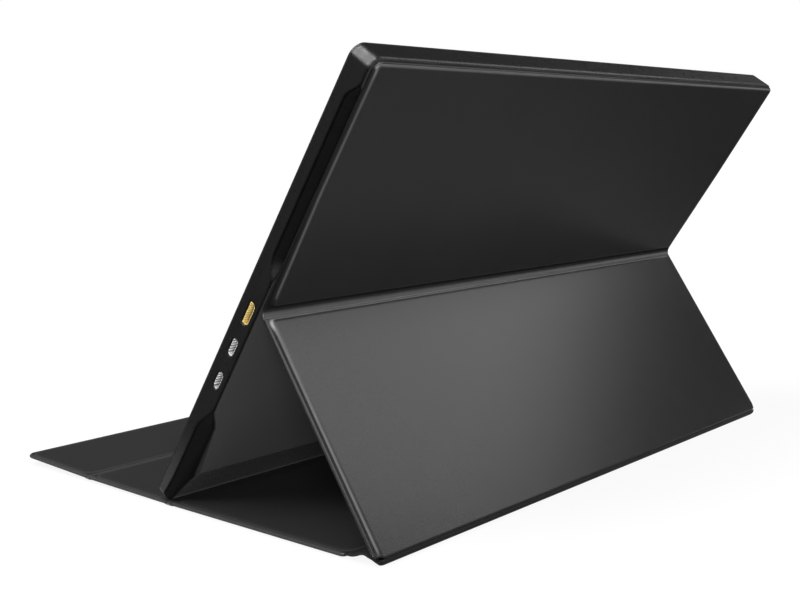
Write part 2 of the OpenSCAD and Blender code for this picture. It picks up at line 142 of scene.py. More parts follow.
def add_camera():
    forward = Vector(
        (
            math.sin(CAM_YAW) * math.cos(CAM_PITCH),
            -math.cos(CAM_YAW) * math.cos(CAM_PITCH),
            math.sin(CAM_PITCH),
        )
    )
    level_right = forward.cross(Vector((0, 0, 1))).normalized()
    level_up = level_right.cross(forward)
    cam_right = math.cos(CAM_ROLL) * level_right + math.sin(CAM_ROLL) * level_up
    cam_up = -math.sin(CAM_ROLL) * level_right + math.cos(CAM_ROLL) * level_up
    data = bpy.data.cameras.new("camera")
    data.sensor_fit = "HORIZONTAL"
    data.sensor_width = SENSOR_W
    data.lens = CAM_F / PICTURE_W * SENSOR_W
    data.clip_start, data.clip_end = CLIPPING
    camera = bpy.data.objects.new("camera", data)
    turned = Matrix((cam_right, cam_up, -forward)).transposed().to_4x4()
    camera.matrix_world = Matrix.Translation(Vector(CAM_AT) * MM) @ turned
    bpy.context.scene.collection.objects.link(camera)
    bpy.context.scene.camera = camera


add_camera()


# ---------------------------------------------------------------- node trees
def feed(tree, socket, value):
    """Links an output to a socket, or sets the socket to a number, colour or vector."""
    if hasattr(value, "is_linked"):
        tree.links.new(value, socket)
    else:
        socket.default_value = value


class Nodes:
    """Short ways to fill an emptied node tree."""

    def __init__(self, tree):
        self.tree = tree
        tree.nodes.clear()

    def node(self, kind, **values):
        """A node. Each value goes to the socket of that name, or else to the node's own setting."""
        made = self.tree.nodes.new("ShaderNode" + kind)
        for name, value in values.items():
            if name in made.inputs:
                feed(self.tree, made.inputs[name], value)
            else:
                setattr(made, name, value)
        return made

    def math(self, operation, a, b=0.0, clamp=False):
        made = self.node("Math", operation=operation, use_clamp=clamp)
        feed(self.tree, made.inputs[0], a)
        feed(self.tree, made.inputs[1], b)
        return made.outputs[0]

    def times(self, a, b, clamp=False):
        return self.math("MULTIPLY", a, b, clamp)

    def plus(self, a, b):
        return self.math("ADD", a, b)

    def absolute(self, a):
        return self.math("ABSOLUTE", a)

    def spread(self, value, lo, hi, to_lo=0.0, to_hi=1.0, smooth=True):
        """Maps lo to to_lo and hi to to_hi, with a soft or a straight step between them."""
        made = self.node("MapRange", interpolation_type="SMOOTHSTEP" if smooth else "LINEAR")
        limits = {"Value": value, "From Min": lo, "From Max": hi, "To Min": to_lo, "To Max": to_hi}
        for name, limit in limits.items():
            feed(self.tree, made.inputs[name], limit)
        return made.outputs["Result"]

    def mix(self, share, a, b):
        """The colour a where share is 0, b where it is 1."""
        made = self.node("Mix", data_type="RGBA")
        for k, value in ((0, share), (6, a), (7, b)):
            feed(self.tree, made.inputs[k], value)
        return made.outputs[2]

    def mix_number(self, share, a, b):
        """The same for numbers."""
        made = self.node("Mix", data_type="FLOAT")
        for k, value in ((0, share), (2, a), (3, b)):
            feed(self.tree, made.inputs[k], value)
        return made.outputs[0]


ACROSS, UPWARD, OUTWARD = (1, 0, 0), (0, *up), (0, *back)            # the monitor's own directions


def grey(tone):
    """A grey with a trace of blue."""
    return (tone, tone, tone * 1.02, 1.0)


class Mat(Nodes):
    """A procedural material on one Principled shader."""

    def __init__(self, name, **sockets):
        self.mat = bpy.data.materials.new(name)
        self.mat.use_nodes = True
        super().__init__(self.mat.node_tree)
        out = self.node("OutputMaterial")
        self.shader = self.node("BsdfPrincipled")
        feed(self.tree, out.inputs["Surface"], self.shader.outputs[0])
        for socket, value in sockets.items():
            self.shader.inputs[socket.replace("_", " ")].default_value = value
        coords = self.node("TexCoord")
        self.place = coords.outputs["Object"]
        self.facing = coords.outputs["Normal"]

    def set(self, socket, value):
        feed(self.tree, self.shader.inputs[socket], value)

    def noise(self, scale, detail=3.0, rough=0.55, vector=None):
        made = self.node("TexNoise", Scale=scale, Detail=detail, Roughness=rough, Vector=vector or self.place)
        return made.outputs["Fac"]

    def cells(self, scale, feature="F1"):
        return self.node("TexVoronoi", feature=feature, Scale=scale, Vector=self.place).outputs["Distance"]

    def scaled(self, x, y, z):
        """The object's own coordinates, scaled along each axis."""
        return self.node("Mapping", Scale=(x, y, z), Vector=self.place).outputs[0]

    def along(self, direction, what=None):
        """The place on the surface, or what is given, measured along one direction."""
        made = self.node("VectorMath", operation="DOT_PRODUCT")
        feed(self.tree, made.inputs[0], what or self.place)
        made.inputs[1].default_value = direction
        return made.outputs["Value"]

    def bump(self, height, distance, strength=1.0, normal=None):
        made = self.node("Bump", Strength=strength, Distance=distance, Height=height)
        if normal is not None:
            feed(self.tree, made.inputs["Normal"], normal)
        return made.outputs[0]

    def wear_and_highlight(self):
        """0 on flat ground, up to 1 on the outer edges."""
        return self.spread(self.node("NewGeometry").outputs["Pointiness"], 0.51, 0.6)

    def crest(self):
        """The mesh's own mark: above 0 where an edge gets a painted highlight, below 0 where a fold or edge
        gets painted shade.
        """
        return self.node("Attribute", attribute_name="crest").outputs["Fac"]

    def mottled(self, mask, lo, hi, tone, contrast):
        """A grey that is darker by the share contrast where the mask is lo, and paler where it is hi."""
        return self.mix(self.spread(mask, lo, hi), grey(tone * (1 - contrast)), grey(tone * (1 + contrast)))


# ---------------------------------------------------------------- materials
def cover_leather():
    """Finely grained leather cloth. Above 0 the crest mark paints a highlight into the colour; below 0 it
    paints shade and takes away gloss.
    """
    tone, rough, gloss, grain = 0.015, 0.2, 0.35, 0.35
    m = Mat("cover leather", Specular_IOR_Level=gloss)
    pebble = m.cells(1500.0, "SMOOTH_F1")
    fine = m.noise(5200.0, 3.0, 0.6)
    valley = m.spread(m.cells(1050.0, "DISTANCE_TO_EDGE"), 0.0, 0.16)
    broad = m.noise(14.0, 3.0)
    blotch = m.noise(120.0, 4.0, 0.6)
    colour = m.mottled(m.plus(m.times(broad, 0.55), m.times(blotch, 0.45)), 0.32, 0.68, tone, 0.1)
    colour = m.mix(valley, grey(tone * 0.62), colour)
    crest = m.crest()
    # Painted highlight: where the crest mark is above 0 the colour goes to a pale grey, and above 1 paler
    # still.
    painted_highlight = m.times(crest, m.spread(blotch, 0.2, 0.8, 0.8, 1.0), clamp=True)
    colour = m.mix(painted_highlight, colour, grey(tone * 14.0))
    colour = m.mix(m.spread(crest, 1.0, 2.0, smooth=False), colour, grey(tone * 26.0))
    # Painted shade: where the crest mark is below 0 the colour darkens, the gloss drops and the roughness
    # rises.
    painted_shade_and_matt = m.spread(crest, 0.0, -1.0)
    m.set("Base Color", m.mix(painted_shade_and_matt, colour, grey(tone * 0.5)))
    m.set("Specular IOR Level", m.spread(painted_shade_and_matt, 0.0, 1.0, gloss, gloss * 0.1, False))
    shine = m.plus(m.times(blotch, 0.06), rough - 0.03)
    shine = m.math("SUBTRACT", shine, m.times(valley, -0.05), clamp=True)
    m.set("Roughness", m.math("MAXIMUM", shine, m.times(painted_shade_and_matt, 0.6)))
    height = m.plus(m.times(valley, 0.7), m.times(pebble, -0.5))
    height = m.plus(height, m.times(fine, 0.25))
    grained = m.bump(height, 0.00005 * grain, 0.55)
    m.set("Normal", m.bump(broad, 0.0008, 0.12, grained))
    return m.mat


def cover_microfibre():
    """Short-napped lining. The crest mark paints a highlight: it makes the lining paler."""
    tone = 0.0078
    m = Mat("cover microfibre", Specular_IOR_Level=0.25, Sheen_Weight=0.04, Sheen_Roughness=0.5)
    nap = m.noise(3800.0, 4.0, 0.65)
    fibres = m.noise(6500.0, 2.0, 0.6, m.scaled(1.0, 0.35, 0.35))
    broad = m.noise(22.0, 4.0, 0.6)
    colour = m.mottled(m.plus(m.times(nap, 0.5), m.times(broad, 0.5)), 0.3, 0.7, tone, 0.18)
    # Painted highlight: paler where the crest mark is high.
    m.set("Base Color", m.mix(m.crest(), colour, grey(tone * 5.0)))
    m.set("Roughness", m.spread(nap, 0.2, 0.8, 0.68, 0.86))
    m.set("Normal", m.bump(m.plus(nap, fibres), 0.00006, 0.6))
    return m.mat


def plastic(name, tone, rough, gloss=0.35, texture=1.0, edge=1.6, soften=0.0, finish=None):
    """Moulded plastic with a fine spark texture. finish(m, broad, colour, shine, normal) refines it.

    edge is how many times paler the outer edges are, as edge wear and painted highlight, and soften the
    radius in metres that rounds them.
    """
    m = Mat(name, Specular_IOR_Level=gloss)
    spark = m.noise(7000.0, 2.0, 0.6)
    pits = m.cells(4200.0)
    broad = m.noise(16.0, 3.0)
    rub = m.noise(260.0, 4.0, 0.6)
    colour = m.mottled(broad, 0.35, 0.65, tone, 0.07)
    # The outer edges are paler: edge wear, and a painted highlight.
    colour = m.mix(m.times(m.wear_and_highlight(), 0.4), colour, grey(tone * edge))
    shine = m.spread(rub, 0.3, 0.7, rough - 0.04, rough + 0.05)
    normal = m.node("Bevel", Radius=soften, samples=4).outputs[0] if soften > 0 else None
    if finish:
        colour, shine = finish(m, broad, colour, shine, normal)
    m.set("Base Color", colour)
    m.set("Roughness", shine)
    height = m.plus(m.times(spark, 0.6), m.times(pits, 0.5))
    m.set("Normal", m.bump(height, 0.000012 * texture, 0.5, normal))
    return m.mat


HOUSING_TONE, HOUSING_GLOSS = 0.007, 0.4
PAINTED_LIGHT_BACK_TONE = 0.041                     # painted light: the flat back is painted paler than the walls, as if lit
BACK_END = (0.1766, 0.1772)           # distances from the middle between which the flat back ends
DARK_LINE_START = (0.1771, 0.1776)         # and between which the dark line beside it starts
FACING_WALL = (0.96, 0.995)           # how squarely a wall faces its own direction
FACING_BACK = (0.97, 0.995)
FACING_SLOPE = (0.12, 0.4)            # how far the slope faces both sideways and back
LOW_PART, LOWEST_PART = (0.05, 0.0), (0.004, 0.001)   # heights over which the bottom end is painted paler: painted reflection, and a painted highlight lowest down


def housing_finish(m, broad, colour, shine, normal):
    """Paints light and shade: the flat back paler and matt as if lit, the bottom end paler as a painted
    reflection with a painted highlight at its lowest edge, painted shade on the slope, a near-black line
    beside the back's end, and less gloss on the walls and slope.
    """
    sideways = m.absolute(m.along(ACROSS))
    inward = m.spread(sideways, *BACK_END, 1.0, 0.0)
    # Painted light: the flat back between the ends is painted paler, as if lit.
    flat = m.times(m.spread(m.along(OUTWARD, m.facing), *FACING_BACK), inward)
    colour = m.mix(flat, colour, m.mottled(broad, 0.35, 0.65, PAINTED_LIGHT_BACK_TONE, 0.06))
    shine = m.math("MAXIMUM", shine, m.times(flat, 0.6))
    facing_side = m.absolute(m.along(ACROSS, normal))
    slope = m.times(m.spread(facing_side, *FACING_SLOPE), m.spread(m.along(OUTWARD, normal), *FACING_SLOPE))
    bottom = at_monitor.translation.dot(Vector(UPWARD)) * MM
    height = m.math("SUBTRACT", m.along(UPWARD), bottom)
    # Painted reflection paler towards the bottom end, and a painted highlight at its lowest edge.
    colour = m.mix(m.spread(height, *LOW_PART, 0.0, 0.5), colour, grey(HOUSING_TONE * 8.0))
    colour = m.mix(m.spread(height, *LOWEST_PART, 0.0, 0.7), colour, grey(HOUSING_TONE * 20.0))
    # Painted shade on the slope, and a near-black line beside the end of the flat back.
    dark_line = m.times(m.spread(sideways, *DARK_LINE_START), m.spread(slope, 0.0, 0.35))
    colour = m.mix(slope, colour, grey(HOUSING_TONE * 0.45))
    colour = m.mix(dark_line, colour, grey(HOUSING_TONE * 0.08))
    side_wall = m.spread(facing_side, *FACING_WALL, 1.0, 0.25)
    top_wall = m.spread(m.along(UPWARD, normal), *FACING_WALL, 1.0, 0.35)
    slope_gloss = m.spread(slope, 0.0, 1.0, HOUSING_GLOSS, HOUSING_GLOSS * 0.35, False)
    m.set("Specular IOR Level", m.times(m.times(side_wall, top_wall), slope_gloss))
    return colour, shine


def metal(name, colour, rough, share=1.0, pitch=0.0, gap_tone=0.0):
    """Brushed, stained metal. With a pitch, darker gaps cut it into a row of contacts along the socket."""
    m = Mat(name, Metallic=share)
    lines = m.noise(9000.0, 3.0, 0.6, m.scaled(0.08, 1.0, 1.0))
    stain = m.noise(420.0, 4.0, 0.6)
    clean, stained, gap = ((*(c * tone for c in colour), 1.0) for tone in (1.0, 0.72, gap_tone))
    shade = m.mix(m.spread(stain, 0.3, 0.7), stained, clean)
    if pitch > 0:
        row = m.math("FRACT", m.math("DIVIDE", m.along(UPWARD), pitch))
        contact = m.spread(m.absolute(m.math("SUBTRACT", row, 0.5)), 0.1, 0.3)
        shade = m.mix(contact, gap, shade)
    m.set("Base Color", shade)
    m.set("Roughness", m.spread(stain, 0.3, 0.7, rough - 0.06, rough + 0.08))
    m.set("Normal", m.bump(lines, 0.00001, 0.5))
    return m.mat


def screen_glass():
    """Dark anti-glare picture area with a faint smear."""
    m = Mat("screen", Specular_IOR_Level=0.5, Coat_Weight=0.35, Coat_Roughness=0.12)
    haze = m.noise(9000.0, 2.0, 0.5)
    smear = m.noise(18.0, 4.0, 0.55)
    dark, light = (0.0075, 0.0075, 0.01, 1), (0.0082, 0.0082, 0.0108, 1)
    m.set("Base Color", m.mix(m.spread(smear, 0.3, 0.7), dark, light))
    m.set("Roughness", m.spread(smear, 0.3, 0.7, 0.235, 0.245))
    m.set("Normal", m.bump(haze, 0.000004, 0.4))
    return m.mat


def flecked(name, dark, light, scale=900.0):
    """A matt material between two colours, for boards, films and other inner pieces."""
    m = Mat(name, Specular_IOR_Level=0.3)
    fleck = m.noise(scale, 4.0, 0.65)
    m.set("Base Color", m.mix(m.spread(fleck, 0.3, 0.7), (*dark, 1), (*light, 1)))
    m.set("Roughness", m.spread(fleck, 0.3, 0.7, 0.55, 0.8))
    m.set("Normal", m.bump(fleck, 0.00004, 0.5))
    return m.mat


NICKEL = (0.62, 0.63, 0.64)
slots = {
    "cover_skin": cover_leather(),
    "cover_lining": cover_microfibre(),
    "housing_plastic": plastic(
        "housing plastic", HOUSING_TONE, 0.3, HOUSING_GLOSS, 0.4, 1.7, 0.0014, housing_finish
    ),
    "bezel_plastic": plastic("bezel plastic", 0.012, 0.4, 0.4, 1.2, 1.6, 0.0003),
    "button_plastic": plastic("button plastic", 0.02, 0.36, 0.35, 1.0, 2.0, 0.0002),
    "socket_black": plastic("socket plastic", 0.012, 0.5, 0.3),
    "screen_glass": screen_glass(),
    "gold_plate": metal("gold plate", (1.0, 0.75, 0.27), 0.4, share=0.2, pitch=0.0013, gap_tone=0.5),
    "steel_plate": metal("nickel plate", (0.9, 0.9, 0.91), 0.4, share=0.2, pitch=0.0015, gap_tone=0.1),
    "screw_steel": metal("screw steel", (0.3, 0.31, 0.32), 0.4),
    "magnet": metal("magnet plating", NICKEL, 0.22),
    "sheet_metal": metal("sheet metal", NICKEL, 0.38),
    "shield": metal("shield tin", (0.7, 0.71, 0.72), 0.32),
    "film": flecked("film", (0.78, 0.78, 0.76), (0.86, 0.86, 0.84), 300.0),
    "light_guide": flecked("light guide", (0.7, 0.75, 0.77), (0.8, 0.84, 0.86), 200.0),
    "led": flecked("led", (0.75, 0.66, 0.3), (0.88, 0.8, 0.5)),
    "circuit_board": flecked("solder mask", (0.01, 0.09, 0.04), (0.03, 0.18, 0.09), 500.0),
    "flat_cable": flecked("flat cable", (0.45, 0.3, 0.1), (0.55, 0.4, 0.15), 250.0),
    "stiff_board": flecked("grey board", (0.26, 0.22, 0.17), (0.36, 0.31, 0.25)),
}
for part in frame["record"]["subparts"]:
    node = NODES[part["node"]]
    node.data.materials.clear()
    node.data.materials.append(slots[part["material_slot"]])
    for face in node.data.polygons:
        face.material_index = 0


# ---------------------------------------------------------------- curves
def smooth(t):
    """0 up to t = 0, 1 from t = 1, with a soft step between them."""
    t = min(max(t, 0.0), 1.0)
    return t * t * (3 - 2 * t)


def bell(x, middle, width):
    return math.exp(-(((x - middle) / width) ** 2))


def half_round(t):
    """Height of a quarter circle, from 0 at t = 0 up to 1 at t = 1."""
    return math.sqrt(max(1 - (1 - t) ** 2, 0))


def bezier(p0, p1, p2, p3, n):
    out = []
    for k in range(n + 1):
        t = k / n
        w = ((1 - t) ** 3, 3 * t * (1 - t) ** 2, 3 * t * t * (1 - t), t**3)
        out.append(tuple(sum(c * p[i] for c, p in zip(w, (p0, p1, p2, p3))) for i in (0, 1)))
    return out


def spline(points, n):
    """A smooth curve through points, n pieces between each pair."""
    out = []
    last = len(points) - 1
    for i in range(last):
        p = [points[max(min(i + d, last), 0)] for d in (-1, 0, 1, 2)]
        for k in range(n):
            t = k / n
            out.append(tuple(
                0.5 * (2 * p[1][c] + (p[2][c] - p[0][c]) * t
                       + (2 * p[0][c] - 5 * p[1][c] + 4 * p[2][c] - p[3][c]) * t * t
                       + (3 * p[1][c] - p[0][c] - 3 * p[2][c] + p[3][c]) * t**3)
                for c in (0, 1)))
    out.append(points[-1])
    return out


# ---------------------------------------------------------------- meshes
def clean_up(mesh):
    """Joins points that fall together at the rounded edges, and faces all sides outwards."""
    bm = bmesh.new()
    bm.from_mesh(mesh)
    bmesh.ops.remove_doubles(bm, verts=bm.verts, dist=0.000004)
    bmesh.ops.dissolve_degenerate(bm, edges=bm.edges, dist=0.000002)
    bmesh.ops.recalc_face_normals(bm, faces=bm.faces)
    bm.to_mesh(mesh)
    bm.free()


def build(name, points, faces, at, slot_names, crests, kinds=None):
    """An object from points in the frame at, each with its crest mark; kinds gives the faces' slots."""
    mesh = bpy.data.meshes.new(name)
    mesh.from_pydata([(at @ Vector(p)) * MM for p in points], [], faces)
    for slot_name in slot_names:
        mesh.materials.append(slots[slot_name])
    if kinds:
        mesh.polygons.foreach_set("material_index", kinds)
    mesh.attributes.new("crest", "FLOAT", "POINT").data.foreach_set("value", crests)
    clean_up(mesh)
    mesh.shade_smooth()
    obj = bpy.data.objects.new(name, mesh)
    bpy.context.scene.collection.objects.link(obj)
    return obj


def shell_faces(nx, nz):
    """Faces of a closed body between two grids of nx by nz points, the low grid first."""
    n = nx * nz
    faces = []

    def at(side, i, j):
        return side * n + j * nx + i

    for j in range(nz - 1):
        for i in range(nx - 1):
            q = [at(1, i, j), at(1, i, j + 1), at(1, i + 1, j + 1), at(1, i + 1, j)]
            faces += [q, [k - n for k in q[::-1]]]
    for j in (0, nz - 1):
        for i in range(nx - 1):
            q = [at(0, i, j), at(1, i, j), at(1, i + 1, j), at(0, i + 1, j)]
            faces.append(q if j == 0 else q[::-1])
    for i in (0, nx - 1):
        for j in range(nz - 1):
            q = [at(0, i, j), at(0, i, j + 1), at(1, i, j + 1), at(1, i, j)]
            faces.append(q if i == 0 else q[::-1])
    return faces


# ---------------------------------------------------------------- soft cover panels
LIP = 2.2                             # width of the thin lip round a panel
ROUND_W = 2.3                         # width of the board's rounded edge
RIM_IN, RIM_OUT = 0.3, RIM_T          # heights of the lip's two faces; all heights are from the lining's face
SEAM, SEAM_GAP = 0.7, 0.02            # height where skin and lining meet, and the gap between them
OVERLAP = 0.04                        # how far the skin reaches past the lip's inner face
WRAP, WRAP_RUN = 1.1, 0.4             # how far the skin wraps round the edge, and where it steps up
LINING_INSET, INSET_RUN = 0.9, 12.0   # how far the lining's edge is drawn in, fading out over that distance
BOARD_R, LINING_R = 3.0, 6.0          # corner radii of the raised board, on the skin and on the lining
CROWN, CROWN_RUN = 0.03, 25.0         # how much the middle of a panel rises, and over what distance
GROOVE_D, GROOVE_AT, GROOVE_W = 0.2, -0.12, 0.3       # depth, place and width of the groove round the board
STEP_RUN = 2.4                        # width of the step from the lining's face down to the lip
BEAD_D, BEAD_AT, BEAD_W = 0.06, -0.15, 0.4            # the same as the groove's, for the line on the lining
CORNER_ZONE = 14.0                    # how far into the panel a rounded corner moves the grid
END_STEPS = [0.0, 0.03, 0.08, 0.16, 0.28, 0.42, 0.6, 0.85, 1.1, 1.3, 1.55, 1.8, 1.95, 2.08, 2.2, 2.32, 2.45,
             2.6, 2.8, 3.05, 3.35, 3.7, 4.1, 4.6, 5.2, 6.2, 8.0, 11.0, 15.0, 20.0, 28.0]
END_SHARE = 0.45                      # the steps reach this share of a panel at most
LEAST_STEP = 0.02                     # from what is cut off to the next step
ACROSS_CELLS = 24                     # cells between the last steps of the two sides


def stations(length, cut0, cut1, middle):
    """Positions along one direction, close together beside both ends."""
    steps = [e for e in END_STEPS if e < length * END_SHARE]
    lows = [cut0] + [e for e in steps if e > cut0 + LEAST_STEP]
    highs = [length - cut1] + [length - e for e in steps if e > cut1 + LEAST_STEP]
    lo, hi = lows[-1], highs[-1]
    inner = [lo + (hi - lo) * i / middle for i in range(1, middle)]
    return lows + inner + highs[::-1]


def rounded(a, b, r):
    """Moves a point at distances a and b from two edges so that the outline turns with radius r."""
    if r <= 0 or max(a, b) >= CORNER_ZONE:
        return a, b
    e, f = min(a, b), max(a, b)
    rho = max(r - e, 0.0)
    arc = math.pi / 4 * rho
    straight = CORNER_ZONE - e - rho
    along = (f - e) / (CORNER_ZONE - e) * (arc + straight)
    if along < arc:
        t = math.pi / 4 - along / rho
        near, far = e + rho * (1 - math.cos(t)), e + rho * (1 - math.sin(t))
    else:
        near, far = e, e + rho + along - arc
    return (near, far) if a <= b else (far, near)


FOOT_CUT = 1.9                        # what the leg leaves to the spine at its foot
FOOT_SHADE = 0.55                      # how deep the painted shade, with less gloss, is on the leg's foot and the skin round it


class Panel:
    """One stiff panel of the cover. A pair of values belongs to its two ends, at z = 0 and at z = length.

    radius is the outline's corner radii, cut what is left to a flexible strip, joined whether a strip goes on
    from that end. side and lip are how far the raised board lies inside the side edges and the ends, and
    lining_lip is lip on the lining. side shrinks to 0 over the length taper. middle is the number of cells
    between the last steps of the two ends, and round_w the width of the board's rounded edge.
    """

    def __init__(self, name, body, at, length, radius=(0, 0), cut=(0, 0), joined=(True, True), side=LIP,
                 lip=(LIP, LIP), lining_lip=(LIP, LIP), taper=0.0, middle=12, round_w=ROUND_W):
        self.name, self.body, self.at, self.length = name, body, at, length
        self.radius, self.cut, self.joined = radius, cut, joined
        self.side, self.lip, self.lining_lip, self.taper = side, lip, lining_lip, taper
        self.middle, self.round_w = middle, round_w

    def inside(self, x, z, side, lips, corner):
        """Distance of a point inside the raised board's outline, which has rounded corners."""
        half_w = COVER_W / 2 - side
        z0, z1 = lips[0], self.length - lips[1]
        qx = abs(x) - (half_w - corner)
        qz = abs(z - (z0 + z1) / 2) - ((z1 - z0) / 2 - corner)
        out = math.hypot(max(qx, 0), max(qz, 0)) + min(max(qx, qz), 0)
        return corner - out

    def board(self, x, z):
        """Distance inside the board on the skin's side."""
        side = self.side * max(1 - z / self.taper, 0.0) if self.taper else self.side
        return self.inside(x, z, side, self.lip, BOARD_R)

    def lining_board(self, x, z):
        """Distance inside the board on the lining's side."""
        return self.inside(x, z, LIP, self.lining_lip, LINING_R)

    def edge(self, x, z):
        """Distance from the nearest free edge."""
        distances = [COVER_W / 2 - abs(x)]
        if not self.joined[0]:
            distances.append(z)
        if not self.joined[1]:
            distances.append(self.length - z)
        return max(min(distances), 0.0)

    def outer(self, x, z):
        """Height of the skin's face: the lip, the groove beside the board, its rounded edge and the crown."""
        d = self.board(x, z)
        groove = GROOVE_D * bell(d, GROOVE_AT, GROOVE_W)
        if self.name == "leg":  # it fades out beside the crease
            groove *= 1 - 0.85 * smooth((z - self.length + 8.0) / 5.0)
        if d < 0:
            return RIM_OUT - groove
        t = min(d / self.round_w, 1.0)
        crown = CROWN * smooth((d - self.round_w) / CROWN_RUN)
        return RIM_OUT - CROWN + (COVER_T - RIM_OUT) * half_round(t) - groove * (1 - t) ** 2 + crown

    def under(self, x, z):
        """Height of the skin's hidden face; at a free edge it wraps round to the lining side."""
        wrap = smooth((self.edge(x, z) - WRAP) / WRAP_RUN)
        return RIM_IN - OVERLAP + (SEAM + OVERLAP - RIM_IN) * wrap

    def inner(self, x, z):
        """Height of the lining's face, which steps in at the lip."""
        d = self.lining_board(x, z)
        return RIM_IN * (1 - smooth(d / STEP_RUN)) + BEAD_D * bell(d, BEAD_AT, BEAD_W)

    def lining_back(self, x, z):
        """Height of the lining's hidden face."""
        return SEAM - SEAM_GAP

    def leg_crest(self, d, z):
        """Painted highlight along the board's edge, strongest beside the crease; painted shade in the groove
        and on the foot.
        """
        near_crease = smooth((z - self.length + 10.0) / 6.0)
        wear_and_highlight = bell(d, 0.7 - 0.35 * near_crease, 0.55)
        foot = FOOT_SHADE * (1 - smooth((z - FOOT_CUT) / 1.0))
        groove_shade = 0.45 * bell(d, -0.1, 0.25) * (1 - near_crease)
        return wear_and_highlight * smooth((z - 2.5) / 4.0) * (0.5 + near_crease) - foot - groove_shade

    def upper_crest(self, d, z):
        """Painted highlight along the board's edge, a little stronger at the top; painted shade on the rim
        and at the crease end.
        """
        near_top = smooth((z - self.length + 10.0) / 6.0)
        low = 1 - smooth((z - 5.0) / 4.0)
        wear_and_highlight = (0.25 + 0.17 * near_top) * bell(d, 1.3, 0.6) * (1 - low)
        return wear_and_highlight - low * (1 - smooth((d - 0.6) / 1.6)) - 1 + smooth(d / 0.9)

    def skin_crest(self, x, z):
        """The crest mark on the skin's face; on a base panel only the side edges get a painted highlight."""
        if self.name == "leg":
            return self.leg_crest(self.board(x, z), z)
        if self.name == "upper":
            return self.upper_crest(self.board(x, z), z)
        return 0.14 * (1 - smooth((COVER_W / 2 - abs(x) - 0.5) / 0.8))

    def wrapped_crest(self, x, z):
        """The crest mark on the strip of skin that a base panel wraps round to the lining side: a painted
        highlight near the free edge.
        """
        return 0.18 * (1 - smooth((self.edge(x, z) - WRAP) / 0.3)) if self.side == 0.0 else 0.0

    def lining_crest(self, x, z):
        """The crest mark on the lining: a painted highlight along the line that the board's outline draws,
        and along the side edges.
        """
        line = 0.8 * bell(self.lining_board(x, z), -0.1, 0.5)
        return max(line, 0.5 * (1 - smooth((COVER_W / 2 - abs(x) - 1.4) / 0.8)))

    def place(self, x, z, inset):
        """A grid point once corners are rounded and free edges drawn in, and its distance from the edge."""
        a = COVER_W / 2 - abs(x)
        end = 0 if z < self.length / 2 else 1
        b = self.length - z if end else z
        e = self.edge(x, z)
        px, pz = rounded(a, b, self.radius[end])
        free = not self.joined[end]
        pull = inset * (1 - smooth(e / INSET_RUN))
        if pull:
            toward_side = px < pz or not free
            if toward_side:
                px += pull
            if free and (pz <= px or not toward_side):
                pz += pull
        return math.copysign(COVER_W / 2 - px, x), (self.length - pz if end else pz), e

    def shell(self, name, low, high, low_crest, high_crest, slot_name, inset=0.0):
        """A closed body between two heights, with rounded free edges; inset draws those edges in."""
        xs = [x - COVER_W / 2 for x in stations(COVER_W, 0, 0, ACROSS_CELLS)]
        zs = stations(self.length, self.cut[0], self.cut[1], self.middle)
        points, crests = [], []
        for side, mark in enumerate((low_crest, high_crest)):
            for z in zs:
                for x in xs:
                    gx, gz, e = self.place(x, z, inset)
                    lo, hi = low(gx, gz), high(gx, gz)
                    half = (hi - lo) / 2
                    if e < half:
                        lift = half * half_round(e / half)
                        mid = (lo + hi) / 2
                        lo, hi = mid - lift, mid + lift
                    points.append((gx, hi if side else lo, gz))
                    crests.append(mark(gx, gz))
        return build(name, points, shell_faces(len(xs), len(zs)), self.at, [slot_name], crests)


UPPER_CUT = 2.4                       # what the upper panel leaves to the crease
CREASE_CUT = 1.6                      # what the leg leaves to the crease, and the rear panel to the spine
TIP_R = 7.0                           # corner radius of the leg's foot
THROUGH = -4.0                        # a board outline that runs on past the panel's end
GROOVE_LIP = 0.8                      # lip of the lining beside a groove of the base
upper_len = MON_H - TOP_GAP - CREASE_S - FOLD_GAP
leg_top = leg_len - FOLD_GAP
panels = [
    Panel("upper", "monitor", at_upper, upper_len, radius=(0, COVER_R), cut=(UPPER_CUT, 0),
          joined=(True, False), lip=(2.6, 0.0), taper=62.0, round_w=2.7),
    Panel("leg", "leg", at_leg, leg_top, radius=(TIP_R, 0), cut=(FOOT_CUT, CREASE_CUT), lip=(0.6, 1.8)),
    Panel("rear", "base", at_rear, REAR_LEN, radius=(0, FOOT_R), cut=(0, CREASE_CUT), side=0.0,
          lip=(THROUGH, LIP), lining_lip=(GROOVE_LIP, LIP)),
    Panel("middle", "middle_panel", at_middle_panel, MIDDLE_LEN, side=0.0, lip=(THROUGH, THROUGH),
          lining_lip=(GROOVE_LIP, GROOVE_LIP), middle=6),
    Panel("flap", "front_flap", at_flap_panel, FLAP_LEN, radius=(COVER_R, 0), joined=(False, True), side=0.0,
          lip=(0.0, THROUGH), lining_lip=(LIP, GROOVE_LIP), middle=6),
]
for panel in panels:
    skin = panel.shell(
        panel.name + "_cover", panel.under, panel.outer, panel.wrapped_crest, panel.skin_crest, "cover_skin"
    )
    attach(skin, panel.body)
    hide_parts(panel.name + "_skin")
    lining = panel.shell(
        panel.name + "_inner", panel.inner, panel.lining_back, panel.lining_crest, panel.lining_crest,
        "cover_lining", LINING_INSET,
    )
    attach(lining, panel.body)
    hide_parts(panel.name + "_lining")

# ---------------------------------------------------------------- flexible strips between the panels
SIDE_STEPS = (0.0, 0.06, 0.18, 0.39, 1.2, 4.0)        # places beside a side edge, from that edge
STRIP_CELLS = 40                      # cells between the last places of the two sides


